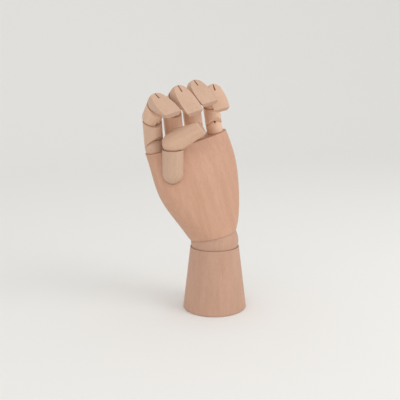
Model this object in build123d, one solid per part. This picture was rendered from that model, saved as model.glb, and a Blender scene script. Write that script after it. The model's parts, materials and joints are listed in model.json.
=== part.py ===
from build123d import *
import os
from collections import namedtuple
from math import cos, pi, sin

# Wooden hand mannequin: a left hand on a tapered forearm, palm towards -Y, thumb at -X.
# Millimetres and degrees. The origin is the centre of the forearm's foot, +Z is up.

# Forearm
FOREARM_BASE_D = 63.0
FOREARM_TOP_D = 48.0
FOREARM_HEIGHT = 62.0
FOREARM_EDGE = 0.8

# Wrist ball between the cup of the forearm and the cup of the palm
BALL_D = 47.0
BALL_PLAY = 0.3
BALL_ABOVE_FOREARM = 5.0
BALL_BORE_D = 18.0
WRIST_NOD = -5.5
WRIST_TILT = -11.0

# Wrist spring, its cross pin in the forearm and its screw eye in the palm
SPRING_D = 7.0
SPRING_WIRE_D = 1.2
SPRING_BORE_D = 14.0
SPRING_BORE_FLOOR = 20.0
SPRING_PIN_D = 3.0
SPRING_PIN_Z = 30.0
SPRING_PIN_INSET = 0.5
SPRING_PIN_BITE = 6.0
EYE_RING_D = 8.0
EYE_WIRE_D = 1.8
EYE_ABOVE_BALL = 31.0
EYE_SCREW_LENGTH = 14.0
LOOP_PLAY = 0.2

# Palm: its round rim on the ball, then oval sections upwards as
# (height above the ball's centre, width, thickness, shift along X, shift along Y)
PALM_RIM_D = 46.6
PALM_RIM_ABOVE_BALL = 7.0
PALM_SECTIONS = (
    (20.0, 58.0, 43.0, 0.0, 0.0),
    (36.0, 70.8, 41.5, -1.5, -0.5),
    (52.0, 80.6, 40.0, -3.4, -1.5),
    (72.0, 86.5, 36.0, -4.2, -2.0),
    (96.0, 87.4, 27.0, -4.9, 0.0),
    (116.0, 86.0, 26.0, -6.0, 0.0),
)
PALM_SQUARENESS = 2.5
PALM_OUTLINE_POINTS = 16

# Sloping flat top of the palm, which carries the four knuckles in a row
TOP_X = -5.9
TOP_Y = 1.5
TOP_Z = 102.0
TOP_SLOPE = -3.6
TOP_CANT = 9.7
FINGER_PITCH = 22.0

# Knuckles
KNUCKLE_RISE = 5.0
SPIGOT_D = 8.0
SPIGOT_LENGTH = 14.0
SPIGOT_FIT = 0.05

# Finger joints: rounded end in a spherical cup. The rim is measured from the pivot, the palm side of the cup
# is cut back by the relief, and the dish is a chamfer inside the rim
CUP_PLAY = 0.3
Cup = namedtuple("Cup", "rim relief dish", defaults=(0.0,))
KNUCKLE_CUP = Cup(rim=2.5, relief=10.0)
FINGER_CUP = Cup(rim=3.7, relief=3.8)
TIP_CUP = Cup(rim=3.6, relief=5.5)
THUMB_TIP_CUP = Cup(rim=5.0, relief=0.8, dish=2.4)

# Steel links and pins in the joints
LINK_THICKNESS = 1.2
LINK_WIDTH = 5.0
LINK_FIT = 0.03
LINK_ANCHOR_DEPTH = 3.0
KERF = 1.7
KERF_PAST_PIVOT = 3.2
NAIL_KERF_PAST_PIVOT = 5.5
KNUCKLE_KERF_FLEX = 28.0
PIN_D = 2.0
PIN_FIT = 0.02
PIN_RUNNING_FIT = 0.05
PIN_SINK = 0.4
PIN_BLIND = 2.0

# Fingertips: flat nail bevel on the back, cut square at the end. The bevel starts at a height above the pivot
# and ends at the tip at a height above the axis
Nail = namedtuple("Nail", "start above_axis")
FINGER_NAIL = Nail(start=-3.0, above_axis=-3.0)
THUMB_NAIL = Nail(start=10.0, above_axis=2.9)
TIP_ROUND = 1.2

# Fingers: the middle finger's pivot-to-pivot lengths (the last one to the tip), and for each finger its diameter,
# its share of those lengths, the swivel of its knuckle and the bend of each joint towards the palm
FINGER_D = 17.5
PINKY_D = 16.0
PROXIMAL_LENGTH = 31.9
MIDDLE_LENGTH = 22.4
DISTAL_LENGTH = 24.4
Finger = namedtuple("Finger", "diameter share swivel bends")
FINGERS = {
    "index": Finger(FINGER_D, 0.926, 6.9, (16.6, 33.4, 50.8)),
    "middle": Finger(FINGER_D, 0.995, 6.0, (11.4, 45.7, 58.7)),
    "ring": Finger(FINGER_D, 0.937, 1.7, (6.7, 43.1, 58.5)),
    "pinky": Finger(PINKY_D, 0.828, -12.0, (10.4, 46.7, 63.0)),
}

# Thumb: its first pivot in the palm's frame, the way its cup in the palm faces, and its pose
THUMB_D = 19.5
THUMB_PIVOT = (-34.4, -17.3, 77.7)
THUMB_TURN = -25.0
THUMB_LEAN = 65.0
THUMB_SWIVEL = 165.6
THUMB_PROXIMAL = 27.2
THUMB_DISTAL = 30.3
THUMB_TWIST = -93.0
THUMB_BENDS = (64.2, 54.7)
THUMB_FOLD = 4.0
THUMB_SHANK_D = 2.4
THUMB_SHANK_LENGTH = 9.0

# Places: each frame has its origin on a pivot, +Z along the piece and -Y to the palm side
BALL_AT = Pos(0, 0, FOREARM_HEIGHT + BALL_ABOVE_FOREARM)
PALM_AT = BALL_AT * Rot(X=WRIST_NOD) * Rot(Y=WRIST_TILT)
TOP_AT = PALM_AT * Pos(TOP_X, TOP_Y, TOP_Z) * Rot(Y=TOP_SLOPE) * Rot(X=TOP_CANT)
THUMB_AT = PALM_AT * Pos(*THUMB_PIVOT) * Rot(Z=THUMB_TURN) * Rot(X=THUMB_LEAN) * Rot(Z=THUMB_SWIVEL)

FROM_BASE = (Align.CENTER, Align.CENTER, Align.MIN)
FROM_TOP = (Align.CENTER, Align.CENTER, Align.MAX)


def rod(diameter, low, high):
    """Round bar along Z from one height to another."""
    return Pos(0, 0, low) * Cylinder(diameter / 2, high - low, align=FROM_BASE)


def cross_rod(diameter, low, high):
    """Round bar along X."""
    return Rot(Y=90) * rod(diameter, low, high)


def ring(diameter, wire):
    """Ring of round wire that stands in the XZ plane, measured at the middle of its wire."""
    return Rot(X=90) * Torus(diameter / 2, wire / 2)


def cup_cut(cup, diameter):
    """What a cup takes off a rod that goes up from a pivot: the ball, the rim and the relief to the palm side."""
    radius = diameter / 2
    reach = radius + 1
    slope = cup.relief / radius
    wedge = Polyline((0, cup.rim), (-reach, cup.rim + slope * reach), (-reach, cup.rim), close=True)
    cut = Sphere(radius + CUP_PLAY) + rod(2 * reach, 0, cup.rim)
    cut += extrude(Plane.YZ * make_face(wedge), amount=reach, both=True)
    if cup.dish:
        cut += Pos(0, 0, cup.rim) * Cone(radius, radius - cup.dish, cup.dish, align=FROM_BASE)
    return cut


def top_cup_cut(cup, diameter, pivot):
    """The same cut at the top of a piece, whose next pivot lies above it."""
    return Pos(0, 0, pivot) * mirror(cup_cut(cup, diameter), Plane.XY)


def kerf(diameter, past_pivot):
    """Saw kerf down the middle of a rounded end, from the end to just past the pivot."""
    length = diameter / 2 + 1 + past_pivot
    return Pos(0, 0, past_pivot) * Box(KERF, diameter + 2, length, align=FROM_TOP)


def pin(diameter):
    """Cross pin, driven in from the +X side and stopping short of the other."""
    return cross_rod(PIN_D, PIN_BLIND - diameter / 2, diameter / 2 - PIN_SINK)


def pin_hole(diameter):
    return cross_rod(PIN_D + 2 * PIN_FIT, PIN_BLIND - diameter / 2, diameter / 2 + 1)


def anchor_depth(diameter):
    """Distance of a link's anchor pin from the pivot, in the wood under the cup."""
    return diameter / 2 + CUP_PLAY + LINK_ANCHOR_DEPTH


def strap(low, high, running, fixed):
    """Flat link in the YZ plane between two round ends, with running eyes and fixed holes at given heights."""
    width = LINK_WIDTH / 2
    plate = Box(LINK_THICKNESS, LINK_WIDTH, high - low, align=FROM_BASE)
    plate = Pos(0, 0, low) * plate
    for height in (low, high):
        plate += Pos(0, 0, height) * cross_rod(2 * width, -LINK_THICKNESS / 2, LINK_THICKNESS / 2)
    for height in running:
        plate -= Pos(0, 0, height) * cross_rod(PIN_D + 2 * PIN_RUNNING_FIT, -LINK_WIDTH, LINK_WIDTH)
    for height in fixed:
        plate -= Pos(0, 0, height) * cross_rod(PIN_D + 2 * PIN_FIT, -LINK_WIDTH, LINK_WIDTH)
    return plate


def link_slot(low, high):
    """Slot in the wood round a link, a little wider than the link."""
    slot = Box(LINK_THICKNESS + 2 * LINK_FIT, LINK_WIDTH + 2 * LINK_FIT, high - low, align=FROM_BASE)
    return Pos(0, 0, low) * slot


def rounded_end(diameter, length, past_pivot):
    """Rod up from a pivot with a half-ball end on the pivot, its kerf and its pin hole."""
    body = Sphere(diameter / 2) + rod(diameter, 0, length)
    return body - kerf(diameter, past_pivot) - pin_hole(diameter)


def knuckle_kerf(diameter):
    """Kerf in a knuckle: open above and to the back, but to the palm only as far as the finger bends there."""
    reach = diameter / 2 + 1
    height = reach + KERF_PAST_PIVOT
    corner = (Align.CENTER, Align.MIN, Align.MIN)
    back = Pos(0, -KERF_PAST_PIVOT, -KERF_PAST_PIVOT) * Box(KERF, height, height, align=corner)
    return back + Rot(X=KNUCKLE_KERF_FLEX) * Box(KERF, 2 * KERF_PAST_PIVOT, reach, align=FROM_BASE)


def knuckle(diameter, rise):
    """Knuckle with its pivot at the origin: half-ball top, collar and a spigot that turns in the palm."""
    body = Sphere(diameter / 2, arc_size1=0) + rod(diameter, -rise, 0)
    body -= knuckle_kerf(diameter) + pin_hole(diameter)
    return body + rod(SPIGOT_D, -rise - SPIGOT_LENGTH, -rise)


def knuckle_socket(rise):
    """Bore in the palm for a knuckle's spigot."""
    return rod(SPIGOT_D + 2 * SPIGOT_FIT, -rise - SPIGOT_LENGTH, 0)


def proximal(diameter, length):
    """Finger bone with a cup at both ends and one slot right through it."""
    body = rod(diameter, 0, length)
    body -= cup_cut(KNUCKLE_CUP, diameter) + top_cup_cut(FINGER_CUP, diameter, length)
    body -= link_slot(0, length)
    return body - Pos(0, 0, length / 2) * pin_hole(diameter)


def middle(diameter, length):
    """Finger bone with a rounded end below and a cup above."""
    anchor = length - anchor_depth(diameter)
    body = rounded_end(diameter, length, KERF_PAST_PIVOT)
    body -= top_cup_cut(TIP_CUP, diameter, length)
    body -= link_slot(anchor - LINK_WIDTH / 2, length)
    return body - Pos(0, 0, anchor) * pin_hole(diameter)


def distal(diameter, length, nail):
    """Fingertip: rounded end, flat nail bevel on the back, square-cut tip with a broken edge."""
    body = Sphere(diameter / 2) + fillet(rod(diameter, 0, length).edges().group_by(Axis.Z)[-1], TIP_ROUND)
    reach = diameter / 2 + 1
    slope = (diameter / 2 - nail.above_axis) / (length - nail.start)
    end = length + 1
    bevel = Polyline(
        (diameter / 2, nail.start),
        (diameter / 2 - slope * (end - nail.start), end),
        (reach, end),
        (reach, nail.start),
        close=True,
    )
    body -= extrude(Plane.YZ * make_face(bevel), amount=reach, both=True)
    return body - kerf(diameter, NAIL_KERF_PAST_PIVOT) - pin_hole(diameter)


def finger_nodes(name, finger, place):
    """All pieces of one finger, from its knuckle's base frame outwards, and the frames of its joints."""
    size = finger.diameter
    first = PROXIMAL_LENGTH * finger.share
    second = MIDDLE_LENGTH * finger.share
    last = DISTAL_LENGTH * finger.share
    knuckle_at = place * Pos(0, 0, KNUCKLE_RISE)
    proximal_at = knuckle_at * Rot(X=finger.bends[0])
    middle_at = proximal_at * Pos(0, 0, first) * Rot(X=finger.bends[1])
    distal_at = middle_at * Pos(0, 0, second) * Rot(X=finger.bends[2])
    anchor = second - anchor_depth(size)
    nodes = {
        "knuckle": knuckle_at * knuckle(size, KNUCKLE_RISE),
        "knuckle_pin": knuckle_at * pin(size),
        "proximal": proximal_at * proximal(size, first),
        "proximal_link": proximal_at * strap(0, first, running=(0, first), fixed=(first / 2,)),
        "proximal_pin": proximal_at * Pos(0, 0, first / 2) * pin(size),
        "middle": middle_at * middle(size, second),
        "middle_link": middle_at * strap(anchor, second, running=(second,), fixed=(anchor,)),
        "middle_pins": middle_at * Compound([pin(size), Pos(0, 0, anchor) * pin(size)]),
        "distal": distal_at * distal(size, last, FINGER_NAIL),
        "distal_pin": distal_at * pin(size),
    }
    frames = {"knuckle": place, "proximal": proximal_at, "middle": middle_at, "distal": distal_at}
    return ({f"{name}_{piece}": solid for piece, solid in nodes.items()}, frames)


def thumb_eye_foot():
    """Height of the root of the thumb's eye, in the wood under the palm's cup."""
    return -anchor_depth(THUMB_D)


def thumb_eye():
    """Flat eye in the palm's cup that holds the thumb, on a round shank."""
    foot = thumb_eye_foot()
    return strap(foot, 0, running=(0,), fixed=()) + rod(THUMB_SHANK_D, foot - THUMB_SHANK_LENGTH, foot)


def thumb_socket():
    """What the thumb takes out of the palm: its cup, the room to fold and the seat of its eye."""
    foot = thumb_eye_foot()
    width = THUMB_D + 2 * CUP_PLAY
    room = Rot(X=THUMB_BENDS[0] + THUMB_FOLD) * rod(width, 0, 2 * THUMB_PROXIMAL)
    seat = link_slot(foot - LINK_WIDTH / 2, 0)
    seat += rod(THUMB_SHANK_D + 2 * PIN_FIT, foot - THUMB_SHANK_LENGTH, foot)
    return Sphere(width / 2) + room + seat


def thumb_kerf():
    """Kerf in the thumb's rounded end, open below and to the palm but closed in front."""
    size = THUMB_D / 2 + 1 + KERF_PAST_PIVOT
    corner = (Align.CENTER, Align.MAX, Align.MAX)
    return Pos(0, KERF_PAST_PIVOT, KERF_PAST_PIVOT) * Box(KERF, size, size, align=corner)


def thumb_proximal(twist, anchor):
    """Thumb bone: rounded end in the palm, and above it a cup whose joint is turned against the lower one."""
    body = Sphere(THUMB_D / 2) + rod(THUMB_D, 0, THUMB_PROXIMAL)
    body -= thumb_kerf() + pin_hole(THUMB_D)
    upper = top_cup_cut(THUMB_TIP_CUP, THUMB_D, THUMB_PROXIMAL)
    upper += link_slot(anchor - LINK_WIDTH / 2, THUMB_PROXIMAL)
    upper += Pos(0, 0, anchor) * pin_hole(THUMB_D)
    return body - twist * upper


def thumb_nodes():
    """All pieces of the thumb and the frames of its joints."""
    twist = Rot(Z=THUMB_TWIST)
    anchor = THUMB_PROXIMAL - anchor_depth(THUMB_D)
    proximal_at = THUMB_AT * Rot(X=THUMB_BENDS[0])
    distal_at = proximal_at * twist * Pos(0, 0, THUMB_PROXIMAL) * Rot(X=THUMB_BENDS[1])
    link = strap(anchor, THUMB_PROXIMAL, running=(THUMB_PROXIMAL,), fixed=(anchor,))
    nodes = {
        "thumb_eye": THUMB_AT * thumb_eye(),
        "thumb_proximal": proximal_at * thumb_proximal(twist, anchor),
        "thumb_link": proximal_at * twist * link,
        "thumb_proximal_pins": proximal_at * Compound([pin(THUMB_D), twist * Pos(0, 0, anchor) * pin(THUMB_D)]),
        "thumb_distal": distal_at * distal(THUMB_D, THUMB_DISTAL, THUMB_NAIL),
        "thumb_distal_pin": distal_at * pin(THUMB_D),
    }
    return nodes, {"proximal": proximal_at, "distal": distal_at}


def oval(width, thickness, squareness):
    """Closed oval outline, rounder than a box and fuller than an ellipse."""
    points = []
    for step in range(PALM_OUTLINE_POINTS):
        turn = 2 * pi * step / PALM_OUTLINE_POINTS
        across, along = cos(turn), sin(turn)
        x = width / 2 * abs(across) ** (2 / squareness) * (1 if across >= 0 else -1)
        y = thickness / 2 * abs(along) ** (2 / squareness) * (1 if along >= 0 else -1)
        points.append((x, y))
    return make_face(Spline(*points, periodic=True))


def palm():
    """Palm in its own frame, whose origin is the ball's centre: one loft, cut flat on top and cupped below."""
    sections = [Pos(0, 0, PALM_RIM_ABOVE_BALL) * oval(PALM_RIM_D, PALM_RIM_D, 2)]
    for height, width, thickness, *shift in PALM_SECTIONS:
        sections.append(Pos(*shift, height) * oval(width, thickness, PALM_SQUARENESS))
    body = loft(sections)
    widest = max(section[1] for section in PALM_SECTIONS)
    top = PALM_AT.inverse() * TOP_AT
    body -= top * Box(2 * widest, widest, widest, align=FROM_BASE)
    body -= Sphere(BALL_D / 2 + BALL_PLAY)
    body -= rod(SPRING_BORE_D, 0, EYE_ABOVE_BALL + EYE_RING_D)
    screw_top = EYE_ABOVE_BALL + EYE_RING_D + EYE_SCREW_LENGTH
    body -= rod(EYE_WIRE_D + 2 * PIN_FIT, 0, screw_top)
    for place in FINGER_PLACES.values():
        body -= PALM_AT.inverse() * place * Pos(0, 0, KNUCKLE_RISE) * knuckle_socket(KNUCKLE_RISE)
    return body - PALM_AT.inverse() * THUMB_AT * thumb_socket()


def forearm():
    """Tapered base with a cup for the ball, a blind bore for the spring and a hole for its cross pin."""
    body = Cone(FOREARM_BASE_D / 2, FOREARM_TOP_D / 2, FOREARM_HEIGHT, align=FROM_BASE)
    body = chamfer(body.edges().group_by(Axis.Z)[0], FOREARM_EDGE)
    body -= BALL_AT * Sphere(BALL_D / 2 + BALL_PLAY)
    body -= rod(SPRING_BORE_D, SPRING_BORE_FLOOR, FOREARM_HEIGHT)
    return body - spring_pin(PIN_FIT, FOREARM_BASE_D)


def spring_pin(fit=0.0, length=None):
    """Cross pin along Y, pushed in from the back of the forearm."""
    taper = (FOREARM_BASE_D - FOREARM_TOP_D) / 2 / FOREARM_HEIGHT
    back = FOREARM_BASE_D / 2 - taper * SPRING_PIN_Z - SPRING_PIN_INSET
    front = -SPRING_BORE_D / 2 - SPRING_PIN_BITE
    bar = rod(SPRING_PIN_D + 2 * fit, front, length or back)
    return Pos(0, 0, SPRING_PIN_Z) * Rot(X=-90) * bar


def wrist_ball():
    """Turned ball, bored through for the spring."""
    return Sphere(BALL_D / 2) - rod(BALL_BORE_D, -BALL_D, BALL_D)


def palm_eye():
    """Screw eye in the palm: a ring and a plain shank."""
    top = EYE_ABOVE_BALL + EYE_RING_D
    shank = rod(EYE_WIRE_D, EYE_ABOVE_BALL + EYE_RING_D / 2, top + EYE_SCREW_LENGTH)
    return Pos(0, 0, EYE_ABOVE_BALL) * ring(EYE_RING_D, EYE_WIRE_D) + shank


def wrist_spring():
    """Close-wound tension spring with a loop at each end, stretched from the cross pin to the screw eye."""
    loop_d = SPRING_D - SPRING_WIRE_D
    inside = loop_d - SPRING_WIRE_D
    low = Vector(0, 0, SPRING_PIN_Z + inside / 2 - SPRING_PIN_D / 2 - LOOP_PLAY)
    hang = (EYE_RING_D - EYE_WIRE_D + inside) / 2 - LOOP_PLAY
    high = (PALM_AT * Pos(0, 0, EYE_ABOVE_BALL - hang)).position
    along = Plane(low, x_dir=(1, 0, 0), z_dir=high - low)
    reach = (high - low).length
    coil = rod(SPRING_D, loop_d / 4, reach - loop_d / 4)
    coil -= rod(SPRING_D - 2 * SPRING_WIRE_D, 0, reach)
    coil += ring(loop_d, SPRING_WIRE_D)
    coil += Pos(0, 0, reach) * Rot(Z=90) * ring(loop_d, SPRING_WIRE_D)
    return along.location * coil


FINGER_PLACES = {
    name: TOP_AT * Pos((order - (len(FINGERS) - 1) / 2) * FINGER_PITCH, 0, 0) * Rot(Z=finger.swivel)
    for order, (name, finger) in enumerate(FINGERS.items())
}

NODES = {
    "forearm": forearm(),
    "spring_pin": spring_pin(),
    "wrist_spring": wrist_spring(),
    "wrist_ball": BALL_AT * Rot(X=WRIST_NOD) * wrist_ball(),
    "palm": PALM_AT * palm(),
    "palm_eye": PALM_AT * palm_eye(),
}
JOINT_FRAMES = {}
for finger_name, finger_sizes in FINGERS.items():
    pieces, JOINT_FRAMES[finger_name] = finger_nodes(finger_name, finger_sizes, FINGER_PLACES[finger_name])
    NODES.update(pieces)
pieces, JOINT_FRAMES["thumb"] = thumb_nodes()
NODES.update(pieces)

os.makedirs("parts", exist_ok=True)
for node, solid in NODES.items():
    export_step(solid, f"parts/{node}.step")
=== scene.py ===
# %% [markdown]
# # A wooden hand for drawing from
#
# The object is a left hand turned and carved from pale beech. It stands on a tapered forearm, its wrist
# is a ball, and every finger bone sits with a rounded end in the cup of the next one. The solids come
# from the CAD model and already have the right sizes. This script turns the knuckles, sands the
# fingertips and trims the thumb to their final form, and gives all pieces their wood or steel, with a
# floor, soft light and a camera. Lengths are in metres.

import json
import math

import bmesh
import bpy
from mathutils import Matrix, Vector


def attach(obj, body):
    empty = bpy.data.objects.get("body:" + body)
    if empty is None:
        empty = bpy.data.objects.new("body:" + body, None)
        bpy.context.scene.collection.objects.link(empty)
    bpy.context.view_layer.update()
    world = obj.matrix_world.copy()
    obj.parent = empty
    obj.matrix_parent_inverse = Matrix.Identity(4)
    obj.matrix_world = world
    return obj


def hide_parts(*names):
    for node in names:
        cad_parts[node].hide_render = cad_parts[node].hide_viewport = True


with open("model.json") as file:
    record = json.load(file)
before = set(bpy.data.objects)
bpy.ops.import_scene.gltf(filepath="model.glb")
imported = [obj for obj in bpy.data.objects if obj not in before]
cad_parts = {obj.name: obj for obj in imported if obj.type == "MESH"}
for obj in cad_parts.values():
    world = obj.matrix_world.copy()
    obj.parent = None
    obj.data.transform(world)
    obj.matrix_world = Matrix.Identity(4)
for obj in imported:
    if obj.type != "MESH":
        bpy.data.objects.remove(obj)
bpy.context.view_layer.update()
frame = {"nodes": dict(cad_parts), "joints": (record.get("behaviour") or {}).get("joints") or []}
nodes = frame["nodes"]

# %% [markdown]
# ## Which way the grain runs
#
# A turner cuts every piece with the fibres along its length, so that it doesn't snap across. The joints
# tell where each piece starts and which way it goes: a bone runs from its own pivot to the next. A
# fingertip has no next pivot, so it goes on from the bone before it, bent by an angle. The end of the
# thumb has its direction read from the middle of its mesh. One small matrix per piece then holds its
# start and direction, with Z along the fibres, X along the hinge and Y to the back of the hand. Grain
# that simply ran along the world's Z axis would be shorter to write, but it would cross the bent fingers
# at a slant.

# %% Read the joints
FINGERS = ("index", "middle", "ring", "pinky")
pivot = {j["name"]: Vector(j["pos_m"]) for j in frame["joints"]}
hinge_axis = {j["name"]: Vector(j["axis"]).normalized() for j in frame["joints"]}
print("pivots:", len(pivot))


# %% Frame of one piece
def fibre_frame(start, along, across):
    """Rotation and place of a piece: Z along its fibres, X near to its hinge axis."""
    z = along.normalized()
    y = z.cross(across).normalized()
    x = y.cross(z)
    return Matrix.Translation(start) @ Matrix((x, y, z)).transposed().to_4x4()


def middle_of(node):
    """Mean of a node's corner points."""
    points = [v.co for v in nodes[node].data.vertices]
    return sum(points, Vector()) / len(points)


def tip_direction(node, joint):
    """From the pivot of an end piece to its middle, square to its hinge."""
    reach = middle_of(node) - pivot[joint]
    return reach - hinge_axis[joint] * reach.dot(hinge_axis[joint])


# %% Frames of forearm, wrist and palm
UP = Vector((0, 0, 1))
ACROSS = Vector((1, 0, 0))
knuckle_row = sum((pivot[f"{f}_base_bend"] for f in FINGERS), Vector()) / len(FINGERS)
wrist = pivot["wrist_nod"]
grain = {
    "forearm": fibre_frame(Vector(), UP, ACROSS),
    "wrist_ball": fibre_frame(wrist, UP, ACROSS),
    "palm": fibre_frame(wrist, knuckle_row - wrist, ACROSS),
}
print("height of the knuckle row:", round(knuckle_row.z, 4))

# %% Frames of fingers and thumb
TIP_BEND_DEGREES = {"index": 52.3, "middle": 60.2, "ring": 60.0, "pinky": 64.5}
for f in FINGERS:
    stops = [pivot[f"{f}_{joint}"] for joint in ("base_bend", "middle_bend", "tip_bend")]
    hinge = hinge_axis[f"{f}_middle_bend"]
    grain[f"{f}_knuckle"] = fibre_frame(stops[0], hinge_axis[f"{f}_swivel"], hinge)
    grain[f"{f}_proximal"] = fibre_frame(stops[0], stops[1] - stops[0], hinge)
    grain[f"{f}_middle"] = fibre_frame(stops[1], stops[2] - stops[1], hinge)
    bent = Matrix.Rotation(math.radians(TIP_BEND_DEGREES[f]), 3, hinge)
    grain[f"{f}_distal"] = fibre_frame(stops[2], bent @ (stops[2] - stops[1]), hinge)
thumb_low = pivot["thumb_base_bend"]
thumb_high = pivot["thumb_tip_bend"]
thumb_hinge = hinge_axis["thumb_tip_bend"]
thumb_end = tip_direction("thumb_distal", "thumb_tip_bend")
grain["thumb_proximal"] = fibre_frame(thumb_low, thumb_high - thumb_low, thumb_hinge)
grain["thumb_distal"] = fibre_frame(thumb_high, thumb_end, thumb_hinge)
print("pieces with a grain direction:", len(grain))

# %% [markdown]
# ## Lathe, sander and saw
#
# The small round pieces are made in three steps in the workshop, and the same steps are done here. An
# outline is spun about the lathe's axis, a plane sands a flat, and a thin block takes out a saw cut. A
# subdivided cube would give softer shapes, but these pieces have true circles and crisp edges.

# %% Lathe
ROUND_STEPS = 16
TURN_STEPS = 64
WELD = 1e-6


def half_ball(radius, side):
    """Outline of a ball end from its pole to its rim, with side 1 for a top and -1 for a bottom."""
    angles = [math.pi / 2 * step / ROUND_STEPS for step in range(ROUND_STEPS + 1)]
    return [(radius * math.sin(a), side * radius * math.cos(a)) for a in angles]


def turned(outline):
    """Spins an outline, given as X and Z, about the Z axis."""
    bar = bmesh.new()
    corners = [bar.verts.new((x, 0, z)) for x, z in outline]
    runs = [bar.edges.new(pair) for pair in zip(corners, corners[1:])]
    bmesh.ops.spin(bar, geom=corners + runs, axis=(0, 0, 1), angle=math.tau, steps=TURN_STEPS)
    bmesh.ops.remove_doubles(bar, verts=bar.verts, dist=WELD)
    bmesh.ops.recalc_face_normals(bar, faces=bar.faces)
    return bar


print("a ball end has", ROUND_STEPS, "rings of", TURN_STEPS, "faces")

# %% Sander
ON_PLANE = 1e-7


def sand_flat(bar, start, end):
    """Takes off all that lies to the left of a line from start to end, both given as Y and Z."""
    run = Vector((0, *end)) - Vector((0, *start))
    whole = bar.verts[:] + bar.edges[:] + bar.faces[:]
    cut = bmesh.ops.bisect_plane(
        bar, geom=whole, dist=ON_PLANE, plane_co=(0, *start), plane_no=ACROSS.cross(run), clear_outer=True
    )
    rim = [part for part in cut["geom_cut"] if isinstance(part, bmesh.types.BMEdge)]
    bmesh.ops.edgeloop_fill(bar, edges=rim)


# %% Saw
def blade(width, low, high, turn=0.0):
    """Block of a width along X between two corners, given as Y and Z, turned about X."""
    block = bmesh.new()
    bmesh.ops.create_cube(block, size=1.0)
    bmesh.ops.scale(block, vec=(width, high[0] - low[0], high[1] - low[1]), verts=block.verts)
    middle = (0, (low[0] + high[0]) / 2, (low[1] + high[1]) / 2)
    bmesh.ops.translate(block, vec=middle, verts=block.verts)
    bmesh.ops.rotate(block, cent=(0, 0, 0), matrix=Matrix.Rotation(turn, 3, "X"), verts=block.verts)
    return block


def piece_from(shape, name):
    """Links a new object made from a bmesh."""
    mesh = bpy.data.meshes.new(name)
    shape.to_mesh(mesh)
    shape.free()
    piece = bpy.data.objects.new(name, mesh)
    bpy.context.scene.collection.objects.link(piece)
    return piece


def saw(piece, *blades):
    """Cuts each blade out of a piece."""
    for shape in blades:
        tool = piece_from(shape, "blade")
        cut = piece.modifiers.new("saw cut", "BOOLEAN")
        cut.object = tool
        cut.solver = "EXACT"
        graph = bpy.context.evaluated_depsgraph_get()
        piece.data = bpy.data.meshes.new_from_object(piece.evaluated_get(graph))
        piece.modifiers.clear()
        bpy.data.objects.remove(tool)


# %% [markdown]
# ## Knuckles, fingertips and the thumb's rim
#
# A knuckle is a short dowel with a ball end that fills the cup of the finger above it, and a thin spigot
# that turns in the palm. A fingertip is a dowel with one round end. The maker sands a long flat for the
# nail on its back, and a shorter flat below that leaves a straight edge about 3 mm thick. Both get a saw
# cut for the steel link. The thumb's lower bone has its upper rim cut back a little in front. The CAD
# model has a lower ball, a plainer tip and a level rim, so these nine pieces stand for its own. They are
# made in their own frames, where the pivot is at the origin, and then put in place.

# %% Put a piece in the place of a solid
SHARP_EDGE = math.radians(20)


def stand_for(piece, node):
    """Puts a piece in the place of a CAD node and lets it move with that node's body."""
    piece.data.transform(grain[node])
    piece.data.shade_smooth()
    piece.data.set_sharp_from_angle(angle=SHARP_EDGE)
    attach(piece, node)
    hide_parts(node)
    return piece


# %% Knuckle
RADIUS = {"index": 0.00875, "middle": 0.00875, "ring": 0.00875, "pinky": 0.008}
COLLAR_HEIGHT = 0.005
SPIGOT_RADIUS = 0.004
SPIGOT_LENGTH = 0.014
KNUCKLE_SAW_CUT = 0.0017
KNUCKLE_SAW_TURN = math.radians(28)
SAW_PAST_PIVOT = 0.0032


def knuckle(finger):
    """Ball top, collar and spigot, with a saw cut that is open above and to the back."""
    radius = RADIUS[finger]
    clear = 2 * radius
    foot = -COLLAR_HEIGHT - SPIGOT_LENGTH
    collar = [(radius, -COLLAR_HEIGHT), (SPIGOT_RADIUS, -COLLAR_HEIGHT)]
    bar = turned(half_ball(radius, 1) + collar + [(SPIGOT_RADIUS, foot), (0, foot)])
    piece = piece_from(bar, f"{finger}_ball_knuckle")
    back = blade(KNUCKLE_SAW_CUT, (-SAW_PAST_PIVOT, -SAW_PAST_PIVOT), (clear, clear))
    front = blade(KNUCKLE_SAW_CUT, (-SAW_PAST_PIVOT, 0), (SAW_PAST_PIVOT, clear), KNUCKLE_SAW_TURN)
    saw(piece, back, front)
    return stand_for(piece, f"{finger}_knuckle")


# %% Fingertip
TIP_LENGTH = {"index": 0.0226, "middle": 0.0243, "ring": 0.0229, "pinky": 0.0202}
NAIL_AT_PIVOT = 0.0066
NAIL_AT_END = -0.003
END_THICKNESS = 0.0034
TAPER_LENGTH = 0.012
TIP_SAW_CUT = 0.0013


def fingertip(finger):
    """Dowel end with a flat nail, a tapered underside and a saw cut."""
    radius = RADIUS[finger]
    length = TIP_LENGTH[finger]
    clear = 2 * radius
    bar = turned(half_ball(radius, -1) + [(radius, length), (0, length)])
    sand_flat(bar, (NAIL_AT_END, length), (NAIL_AT_PIVOT, 0.0))
    sand_flat(bar, (-radius, length - TAPER_LENGTH), (NAIL_AT_END - END_THICKNESS, length))
    piece = piece_from(bar, f"{finger}_fingertip")
    saw(piece, blade(TIP_SAW_CUT, (-clear, -clear), (clear, SAW_PAST_PIVOT)))
    return stand_for(piece, f"{finger}_distal")


# %% Rim of the thumb
THUMB_RADIUS = 0.00975
THUMB_RIM = 0.0222
THUMB_RIM_SLANT = math.radians(11)


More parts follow.
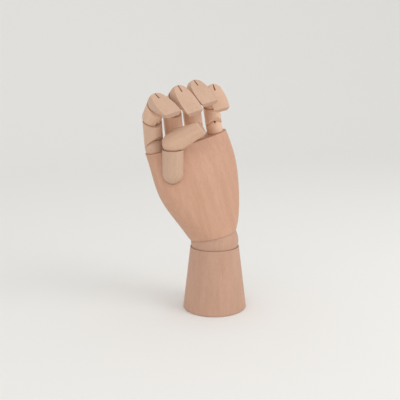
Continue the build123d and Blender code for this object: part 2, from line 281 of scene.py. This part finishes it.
def thumb_bone():
    """The thumb's lower bone with the front of its rim cut back on a slant."""
    node = "thumb_proximal"
    bone = bmesh.new()
    bone.from_mesh(nodes[node].data)
    bone.transform(grain[node].inverted())
    piece = piece_from(bone, "thumb_slanted_bone")
    clear = 2 * THUMB_RADIUS
    above = blade(2 * clear, (-clear, 0), (clear, clear))
    slant = Matrix.Rotation(-THUMB_RIM_SLANT, 4, "Y")
    above.transform(Matrix.Translation((0, 0, THUMB_RIM)) @ slant)
    saw(piece, above)
    return stand_for(piece, node)


# %% Make the nine pieces
wooden = {name: nodes[name] for name in grain}
wooden["thumb_proximal"] = thumb_bone()
print("thumb faces:", len(wooden["thumb_proximal"].data.polygons))
for f in FINGERS:
    wooden[f"{f}_knuckle"] = knuckle(f)
    wooden[f"{f}_distal"] = fingertip(f)
    print(f, "faces:", [len(wooden[f"{f}_{end}"].data.polygons) for end in ("knuckle", "distal")])

# %% [markdown]
# ## Small helpers for node trees
#
# A material is a network. Three helpers keep the cells short: one adds a node and sets its values, one
# turns a colour as it is read off a screen into the linear numbers that shaders use, and one starts an
# empty group.


# %% Node helpers
def add(tree, kind, **values):
    """Adds a node; values with an underscore in front set its properties, the others its input sockets."""
    node = tree.nodes.new(kind)
    for name, value in values.items():
        if name.startswith("_"):
            setattr(node, name[1:], value)
        else:
            node.inputs[name.replace("_", " ")].default_value = value
    return node


def screen(red, green, blue):
    """Linear colour from 0 to 255 screen values, by the usual screen curve."""
    linear = []
    for value in (red, green, blue):
        v = value / 255
        linear.append(v / 12.92 if v <= 0.04045 else ((v + 0.055) / 1.055) ** 2.4)
    return (*linear, 1.0)


def group_tree(name, inputs, outputs):
    """Empty shader node group with named sockets, and its two end nodes."""
    tree = bpy.data.node_groups.new(name, "ShaderNodeTree")
    for label, kind, default in inputs:
        socket = tree.interface.new_socket(label, in_out="INPUT", socket_type=kind)
        if default is not None:
            socket.default_value = default
    for label, kind in outputs:
        tree.interface.new_socket(label, in_out="OUTPUT", socket_type=kind)
    return tree, tree.nodes.new("NodeGroupInput"), tree.nodes.new("NodeGroupOutput")


# %% [markdown]
# ## Beech grain
#
# Close up, beech shows four things: broad soft bands where the growth rings are cut lengthwise, fine
# straight lines, the fibres themselves, and short dark flecks. Each is a noise texture stretched along
# the fibres. They are mixed into one tone from 0 to 1, which picks between a pale and a dark wood colour,
# and into one height for the bump. A wave texture would draw rings too, but as regular as a printed
# pattern. As a group the effect is built once and shared by all pieces, each with its own seed and
# colours.

# %% Beech grain group
beech, beech_in, beech_out = group_tree(
    "beech grain",
    [
        ("Place", "NodeSocketVector", None),
        ("Seed", "NodeSocketFloat", 0.0),
        ("Pale", "NodeSocketColor", (0.7, 0.5, 0.35, 1)),
        ("Dark", "NodeSocketColor", (0.5, 0.3, 0.2, 1)),
        ("Fleck", "NodeSocketColor", (0.3, 0.15, 0.08, 1)),
    ],
    [("Color", "NodeSocketColor"), ("Height", "NodeSocketFloat"), ("Roughness", "NodeSocketFloat")],
)
print("beech grain takes:", [s.name for s in beech_in.outputs if s.name])

# %% Streaks, limits and sums
STREAK_ROUGHNESS = 0.55


def streaks(width, length, detail):
    """Noise whose patches are about as wide and as long as given, along the fibres."""
    stretch = add(beech, "ShaderNodeMapping", Scale=(1 / width, 1 / width, 1 / length))
    noise = add(beech, "ShaderNodeTexNoise", _noise_dimensions="4D", Scale=1.0)
    noise.inputs["Detail"].default_value = detail
    noise.inputs["Roughness"].default_value = STREAK_ROUGHNESS
    beech.links.new(beech_in.outputs["Place"], stretch.inputs["Vector"])
    beech.links.new(stretch.outputs["Vector"], noise.inputs["Vector"])
    beech.links.new(beech_in.outputs["Seed"], noise.inputs["W"])
    return noise.outputs[0]


def ramp(source, low, high, to_low=0.0, to_high=1.0):
    """Stretches a value between two limits."""
    node = add(beech, "ShaderNodeMapRange", From_Min=low, From_Max=high, To_Min=to_low, To_Max=to_high)
    beech.links.new(source, node.inputs["Value"])
    return node.outputs["Result"]


def total(*terms):
    """Sum of values, each multiplied by its share."""
    result = None
    for source, share in terms:
        node = add(beech, "ShaderNodeMath", _operation="MULTIPLY_ADD")
        beech.links.new(source, node.inputs[0])
        node.inputs[1].default_value = share
        node.inputs[2].default_value = 0.0
        if result is not None:
            beech.links.new(result, node.inputs[2])
        result = node.outputs["Value"]
    return result


# %% Tone of the beech
BAND_SHARE = 0.27
LINE_SHARE = 0.33
FIBRE_SHARE = 0.4
bands = ramp(streaks(width=0.006, length=0.09, detail=1.0), low=0.3, high=0.7)
lines = ramp(streaks(width=0.0011, length=0.035, detail=2.0), low=0.25, high=0.75)
fibres = streaks(width=0.00035, length=0.012, detail=2.0)
flecks = ramp(streaks(width=0.00045, length=0.0035, detail=0.0), low=0.66, high=0.78)
tone = total((bands, BAND_SHARE), (lines, LINE_SHARE), (fibres, FIBRE_SHARE))
wood_mix = add(beech, "ShaderNodeMix", _data_type="RGBA")
beech.links.new(tone, wood_mix.inputs["Factor"])
beech.links.new(beech_in.outputs["Pale"], wood_mix.inputs["A"])
beech.links.new(beech_in.outputs["Dark"], wood_mix.inputs["B"])
print("beech grain nodes:", len(beech.nodes))

# %% Flecks, height and roughness of the beech
FLECK_STRENGTH = 0.35
FIBRE_RISE = 0.6
LINE_RISE = 0.3
FLECK_DIP = -0.5
SMOOTHEST = 0.42
ROUGHEST = 0.56
fleck_mix = add(beech, "ShaderNodeMix", _data_type="RGBA")
fleck_share = ramp(flecks, low=0.0, high=1.0, to_high=FLECK_STRENGTH)
height = total((fibres, FIBRE_RISE), (lines, LINE_RISE), (flecks, FLECK_DIP))
roughness = ramp(tone, low=0.2, high=0.8, to_low=SMOOTHEST, to_high=ROUGHEST)
beech.links.new(fleck_share, fleck_mix.inputs["Factor"])
beech.links.new(wood_mix.outputs["Result"], fleck_mix.inputs["A"])
beech.links.new(beech_in.outputs["Fleck"], fleck_mix.inputs["B"])
beech.links.new(fleck_mix.outputs["Result"], beech_out.inputs["Color"])
beech.links.new(height, beech_out.inputs["Height"])
beech.links.new(roughness, beech_out.inputs["Roughness"])
print("beech grain gives:", [s.name for s in beech_out.inputs if s.name])

# %% [markdown]
# ## Worn edges and painted shade in the joints
#
# Handling rounds off and polishes the edges of the wood first. Down in the joints the colour is painted
# shade: a brown laid over the wood where two pieces come close, for the shade in the narrow gaps. A bevel
# node looks at the surface within half a millimetre: where it bends the normal, there is an edge. The same
# normal also makes the edge catch light as if it were sanded, so the meshes need no bevels of their own.
# An ambient occlusion node finds the narrow places between two pieces and sets where the shade is painted.
# Both masks come out of one group.

# %% Edges and joints group
EDGE_RADIUS = 0.0005
JOINT_REACH = 0.0008
edges, edges_in, edges_out = group_tree(
    "edges and joints",
    [("Radius", "NodeSocketFloat", EDGE_RADIUS), ("Reach", "NodeSocketFloat", JOINT_REACH)],
    [("Worn", "NodeSocketFloat"), ("Painted shade", "NodeSocketFloat"), ("Normal", "NodeSocketVector")],
)
print("edges and joints give:", [s.name for s in edges_out.inputs if s.name])

# %% Worn edges
STILL_FLAT = 0.995
FULLY_BENT = 0.85
soft_normal = add(edges, "ShaderNodeBevel", _samples=6)
true_normal = add(edges, "ShaderNodeNewGeometry")
same = add(edges, "ShaderNodeVectorMath", _operation="DOT_PRODUCT")
worn = add(edges, "ShaderNodeMapRange", From_Min=STILL_FLAT, From_Max=FULLY_BENT)
edges.links.new(edges_in.outputs["Radius"], soft_normal.inputs["Radius"])
edges.links.new(soft_normal.outputs["Normal"], edges_out.inputs["Normal"])
edges.links.new(soft_normal.outputs["Normal"], same.inputs[0])
edges.links.new(true_normal.outputs["Normal"], same.inputs[1])
edges.links.new(same.outputs["Value"], worn.inputs["Value"])
edges.links.new(worn.outputs["Result"], edges_out.inputs["Worn"])
print("nodes for worn edges:", len(edges.nodes))

# %% Painted shade in the joints
OPEN_PLACE = 0.75
NARROW_PLACE = 0.25
narrow = add(edges, "ShaderNodeAmbientOcclusion", _samples=8)
# Painted shade: the narrower the place between two pieces, the more of the shade colour.
painted_joint_shade = add(edges, "ShaderNodeMapRange", From_Min=OPEN_PLACE, From_Max=NARROW_PLACE)
edges.links.new(edges_in.outputs["Reach"], narrow.inputs["Distance"])
edges.links.new(narrow.outputs["AO"], painted_joint_shade.inputs["Value"])
edges.links.new(painted_joint_shade.outputs["Result"], edges_out.inputs["Painted shade"])
print("edges and joints nodes:", len(edges.nodes))

# %% [markdown]
# ## End grain
#
# Where a saw cuts straight across the fibres, their open ends drink more lacquer and dry darker. The
# straight ends of the fingertips show it best. The group compares the direction of the surface with that
# of the fibres, and its mask rises only where the two are nearly the same. The direction is taken in the
# piece's own space, so that it stays put when the piece moves.

# %% End grain group
NEARLY_ACROSS = 0.93
STRAIGHT_ACROSS = 0.99
ends, ends_in, ends_out = group_tree(
    "end grain",
    [("Normal", "NodeSocketVector", None), ("Fibre", "NodeSocketVector", (0.0, 0.0, 1.0))],
    [("Ends", "NodeSocketFloat")],
)
facing = add(ends, "ShaderNodeVectorMath", _operation="DOT_PRODUCT")
either_end = add(ends, "ShaderNodeMath", _operation="ABSOLUTE")
cut_across = add(ends, "ShaderNodeMapRange", From_Min=NEARLY_ACROSS, From_Max=STRAIGHT_ACROSS)
ends.links.new(ends_in.outputs["Normal"], facing.inputs[0])
ends.links.new(ends_in.outputs["Fibre"], facing.inputs[1])
ends.links.new(facing.outputs["Value"], either_end.inputs[0])
ends.links.new(either_end.outputs["Value"], cut_across.inputs["Value"])
ends.links.new(cut_across.outputs["Result"], ends_out.inputs["Ends"])
print("end grain nodes:", len(ends.nodes))

# %% [markdown]
# ## The wood of each piece
#
# The palm is carved from one block and is a little redder than the turned base and ball. The fingers and
# the thumb are turned from paler dowels. Every piece gets a material of its own, because its fibres start
# somewhere else and its shade is set piece by piece: a shift makes a piece lighter or darker by that
# share.
# The shift is partly the dowels' own tone and partly painted light, which lightens the bones that stand
# in the shade of the fingertips and of their neighbours. Over the grain lie the darker end grain, the
# paler worn edges and the painted shade in the joints, in that order. A thin satin lacquer keeps the
# roughness in the middle and the gloss low.

# %% Shades of the wood
SHADES = {
    "block": (screen(216, 172, 145), screen(192, 145, 119), screen(158, 111, 88)),
    "base": (screen(208, 168, 145), screen(187, 145, 122), screen(156, 113, 92)),
    "dowel": (screen(218, 185, 160), screen(199, 160, 135), screen(166, 122, 99)),
}
BODY_SHADE = {"palm": "block", "forearm": "base", "wrist_ball": "base"}
# Part of each shift is the dowel's own tone and part is painted light: bones in the shade of the
# fingertips and their neighbours are made lighter.
TONE_AND_PAINTED_LIGHT_SHIFT = {
    "thumb_proximal": -0.06,
    "thumb_distal": 0.08,
    "index_middle": 0.15,
    "index_proximal": 0.04,
    "middle_proximal": 0.3,
    "ring_proximal": 0.25,
    "pinky_knuckle": 0.25,
    "pinky_proximal": 0.2,
    "pinky_middle": 0.2,
    "pinky_distal": 0.12,
}


def shaded(colour, shift):
    """A colour made a little lighter or darker."""
    return (*(min(1.0, channel * (1 + shift)) for channel in colour[:3]), 1.0)


print("shades:", sorted(SHADES), "pieces with their own tone and painted light:", len(TONE_AND_PAINTED_LIGHT_SHIFT))


# %% One colour over another
def lay_over(tree, base, mask, share, colour):
    """Lays a colour over a base where a mask asks for it, by a share of that mask."""
    part = add(tree, "ShaderNodeMath", _operation="MULTIPLY")
    part.inputs[1].default_value = share
    mix = add(tree, "ShaderNodeMix", _data_type="RGBA")
    mix.inputs["B"].default_value = colour
    tree.links.new(mask, part.inputs[0])
    tree.links.new(part.outputs["Value"], mix.inputs["Factor"])
    tree.links.new(base, mix.inputs["A"])
    return mix.outputs["Result"]


# %% Wood material
# Colour of the painted shade, laid over the wood where the occlusion finds pieces close together.
JOINT_SHADE_COLOUR = screen(108, 72, 56)
JOINT_SHADE_SHARE = 0.4
WORN_SHARE = 0.5
WORN_SHIFT = 0.1
END_SHARE = 0.7
END_SHIFT = -0.2
LACQUER_GLOSS = 0.35
RELIEF = 0.25
RELIEF_HEIGHT = 0.0002


def wood(name, shade, place, seed, shift):
    """Satin beech with its fibres along the Z of the given frame."""
    material = bpy.data.materials.new(name)
    material.use_nodes = True
    tree = material.node_tree
    lacquer = tree.nodes["Principled BSDF"]
    lacquer.inputs["Specular IOR Level"].default_value = LACQUER_GLOSS
    pale, dark, fleck = (shaded(colour, shift) for colour in SHADES[shade])

    at = add(tree, "ShaderNodeTexCoord")
    lengthwise = add(tree, "ShaderNodeMapping", _vector_type="TEXTURE")
    lengthwise.inputs["Location"].default_value = place.to_translation()
    lengthwise.inputs["Rotation"].default_value = place.to_euler()
    figure = add(tree, "ShaderNodeGroup", _node_tree=beech, Seed=seed, Pale=pale, Dark=dark, Fleck=fleck)
    across = add(tree, "ShaderNodeGroup", _node_tree=ends, Fibre=place.to_3x3().col[2])
    rim = add(tree, "ShaderNodeGroup", _node_tree=edges)
    tree.links.new(at.outputs["Object"], lengthwise.inputs["Vector"])
    tree.links.new(lengthwise.outputs["Vector"], figure.inputs["Place"])
    tree.links.new(at.outputs["Normal"], across.inputs["Normal"])

    sawn = lay_over(
        tree, figure.outputs["Color"], across.outputs["Ends"], END_SHARE, shaded(dark, END_SHIFT)
    )
    polished = lay_over(tree, sawn, rim.outputs["Worn"], WORN_SHARE, shaded(pale, WORN_SHIFT))
    # Painted shade in the joints over the wood.
    joint_shaded = lay_over(tree, polished, rim.outputs["Painted shade"], JOINT_SHADE_SHARE, JOINT_SHADE_COLOUR)
    relief = add(tree, "ShaderNodeBump", Strength=RELIEF, Distance=RELIEF_HEIGHT)
    tree.links.new(figure.outputs["Height"], relief.inputs["Height"])
    tree.links.new(rim.outputs["Normal"], relief.inputs["Normal"])
    tree.links.new(joint_shaded, lacquer.inputs["Base Color"])
    tree.links.new(figure.outputs["Roughness"], lacquer.inputs["Roughness"])
    tree.links.new(relief.outputs["Normal"], lacquer.inputs["Normal"])
    return material


# %% Give every wooden piece its wood
SEED_STEP = 1.7
for order, (node, place) in enumerate(sorted(grain.items())):
    shade = BODY_SHADE.get(node, "dowel")
    shift = TONE_AND_PAINTED_LIGHT_SHIFT.get(node, 0.0)
    wooden[node].data.materials.clear()
    wooden[node].data.materials.append(wood(f"{node}_wood", shade, place, SEED_STEP * order, shift))
print("wooden pieces dressed:", len(grain))

# %% [markdown]
# ## Steel in the joints
#
# The links, pins, eyes and the wrist spring are drawn steel. Only slivers of them show, down in the saw
# cuts. Drawn wire has fine scratches and dull patches where oil has dried. A fine noise makes the
# scratches as a bump, and a broad one changes both the roughness and the tint, so that dull places are
# also browner.

# %% Steel material
SCRATCHES_PER_METRE = 4000.0
PATCHES_PER_METRE = 350.0
SCRATCH_STRENGTH = 0.15
SCRATCH_DEPTH = 0.0001
BRIGHT_ROUGHNESS = 0.28
DULL_ROUGHNESS = 0.5
BRIGHT_STEEL = screen(150, 148, 145)
OILED_STEEL = screen(120, 112, 104)
steel = bpy.data.materials.new("drawn_steel")
steel.use_nodes = True
tree = steel.node_tree
steel_surface = tree.nodes["Principled BSDF"]
steel_surface.inputs["Metallic"].default_value = 1.0
at = add(tree, "ShaderNodeTexCoord")
scratches = add(tree, "ShaderNodeTexNoise", Scale=SCRATCHES_PER_METRE, Detail=2.0)
patches = add(tree, "ShaderNodeTexNoise", Scale=PATCHES_PER_METRE, Detail=3.0)
dulled = add(tree, "ShaderNodeMapRange", From_Min=0.35, From_Max=0.65)
dulled.inputs["To Min"].default_value = BRIGHT_ROUGHNESS
dulled.inputs["To Max"].default_value = DULL_ROUGHNESS
tint = add(tree, "ShaderNodeMix", _data_type="RGBA")
tint.inputs["A"].default_value = BRIGHT_STEEL
tint.inputs["B"].default_value = OILED_STEEL
scored = add(tree, "ShaderNodeBump", Strength=SCRATCH_STRENGTH, Distance=SCRATCH_DEPTH)
print("steel nodes:", len(tree.nodes))

# %% Join the steel's nodes and dress the steel pieces
for source, socket in (
    (at.outputs["Object"], scratches.inputs["Vector"]),
    (at.outputs["Object"], patches.inputs["Vector"]),
    (patches.outputs[0], dulled.inputs["Value"]),
    (patches.outputs[0], tint.inputs["Factor"]),
    (scratches.outputs[0], scored.inputs["Height"]),
    (dulled.outputs["Result"], steel_surface.inputs["Roughness"]),
    (tint.outputs["Result"], steel_surface.inputs["Base Color"]),
    (scored.outputs["Normal"], steel_surface.inputs["Normal"]),
):
    tree.links.new(source, socket)
steel_nodes = [name for name in nodes if name not in wooden]
for name in steel_nodes:
    nodes[name].data.materials.clear()
    nodes[name].data.materials.append(steel)
print("steel pieces:", len(steel_nodes))

# %% [markdown]
# ## Floor, light and camera
#
# A wide sheet of pale paper lies under the hand and curves up far behind it, so that no edge shows in the
# picture and the hand still casts a soft shadow. Most of the light is an even pale world. A panel from
# the front right, as in a small studio, and a weaker one at the left give the round pieces their shape.

# %% Floor
SHEET_WIDTH = 60.0
SHEET_FRONT = -4.0
CURVE_START = 1.2
CURVE_RADIUS = 1.5
SHEET_TOP = 5.0
CURVE_STEPS = 24
profile = [(SHEET_FRONT, 0.0)]
for step in range(CURVE_STEPS + 1):
    turn = math.pi / 2 * step / CURVE_STEPS
    profile.append((CURVE_START + CURVE_RADIUS * math.sin(turn), CURVE_RADIUS * (1 - math.cos(turn))))
profile.append((CURVE_START + CURVE_RADIUS, SHEET_TOP))
points = [(side * SHEET_WIDTH / 2, y, z) for y, z in profile for side in (-1, 1)]
faces = [(2 * i, 2 * i + 1, 2 * i + 3, 2 * i + 2) for i in range(len(profile) - 1)]
floor_mesh = bpy.data.meshes.new("floor")
floor_mesh.from_pydata(points, [], faces)
floor_mesh.shade_smooth()
floor = bpy.data.objects.new("floor", floor_mesh)
bpy.context.scene.collection.objects.link(floor)
print("paper sheet:", SHEET_WIDTH, "m wide,", len(faces), "faces")

# %% Paper
PAPER_COLOUR = screen(244, 243, 240)
PAPER_ROUGHNESS = 0.9
paper = bpy.data.materials.new("pale_paper")
paper.use_nodes = True
paper_surface = paper.node_tree.nodes["Principled BSDF"]
paper_surface.inputs["Base Color"].default_value = PAPER_COLOUR
paper_surface.inputs["Roughness"].default_value = PAPER_ROUGHNESS
floor_mesh.materials.append(paper)
print("paper roughness:", PAPER_ROUGHNESS)

# %% Lights
AIM = Vector((0, 0, 0.12))
WORLD_STRENGTH = 0.81


def panel(name, place, width, watts):
    """Square soft light that faces the hand."""
    lamp = bpy.data.lights.new(name, "AREA")
    lamp.size = width
    lamp.energy = watts
    holder = bpy.data.objects.new(name, lamp)
    holder.location = place
    holder.rotation_euler = (AIM - Vector(place)).to_track_quat("-Z", "Y").to_euler()
    bpy.context.scene.collection.objects.link(holder)


panel("main_panel", place=(0.6, -0.9, 0.8), width=0.7, watts=4.0)
panel("side_panel", place=(-0.9, -0.7, 0.5), width=0.9, watts=1.0)
world = bpy.data.worlds.new("studio")
bpy.context.scene.world = world
world.use_nodes = True
sky = world.node_tree.nodes["Background"]
sky.inputs["Color"].default_value = (1, 1, 1, 1)
sky.inputs["Strength"].default_value = WORLD_STRENGTH
bpy.context.scene.view_settings.view_transform = "Standard"

# %% [markdown]
# The camera stands a little above the hand and to the thumb side. The hand isn't in the middle of the
# picture, so the lens is shifted a little to bring it to its place, and the camera still faces the
# forearm's axis.

# %% Camera
AZIMUTH = math.radians(-27.9)
AWAY = 0.51
CAMERA_HEIGHT = 0.1979
TARGET_HEIGHT = 0.1224
FILM_WIDTH_MM = 36.0
LENS_MM = 47.6
SHIFT_ACROSS = -0.0365
SHIFT_UP = -0.037
camera_data = bpy.data.cameras.new("camera")
camera_data.sensor_width = FILM_WIDTH_MM
camera_data.lens = LENS_MM
camera_data.shift_x = SHIFT_ACROSS
camera_data.shift_y = SHIFT_UP
camera = bpy.data.objects.new("camera", camera_data)
camera.location = (AWAY * math.sin(AZIMUTH), -AWAY * math.cos(AZIMUTH), CAMERA_HEIGHT)
look_at = Vector((0, 0, TARGET_HEIGHT))
camera.rotation_euler = (look_at - camera.location).to_track_quat("-Z", "Y").to_euler()
bpy.context.scene.collection.objects.link(camera)
bpy.context.scene.camera = camera
print("camera at", [round(c, 3) for c in camera.location])
